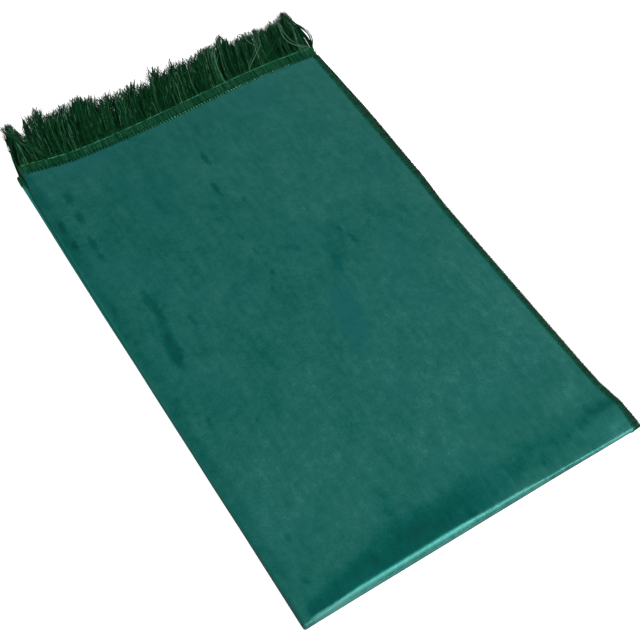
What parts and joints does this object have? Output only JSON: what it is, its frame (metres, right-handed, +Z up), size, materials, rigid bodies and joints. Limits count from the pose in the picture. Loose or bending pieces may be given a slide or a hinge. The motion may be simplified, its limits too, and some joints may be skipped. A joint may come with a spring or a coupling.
{
  "type": "prayer rug",
  "caption": "Dark green velvet prayer rug folded lengthwise and crosswise, with overlocked long sides and fringed header strips lying together at its far end.",
  "frame": {"origin": "on the floor under the middle of the folded cloth, at the underside", "axes": "+X from the long fold to the overlocked edges, +Y from the short fold to the fringed ends, +Z up"},
  "size_m": [0.362, 0.6063, 0.0114],
  "materials": {
    "velvet": "short brushed pile with a soft sheen",
    "edging_thread": "matte overlock thread",
    "fringe_yarn": "matte twisted yarn"
  },
  "bodies": {
    "root": {"rug_cloth": "velvet", "edging_outer": "edging_thread", "edging_inner": "edging_thread", "fringe_top_end": "fringe_yarn", "fringe_bottom_end": "fringe_yarn"}
  },
  "joints": []
}
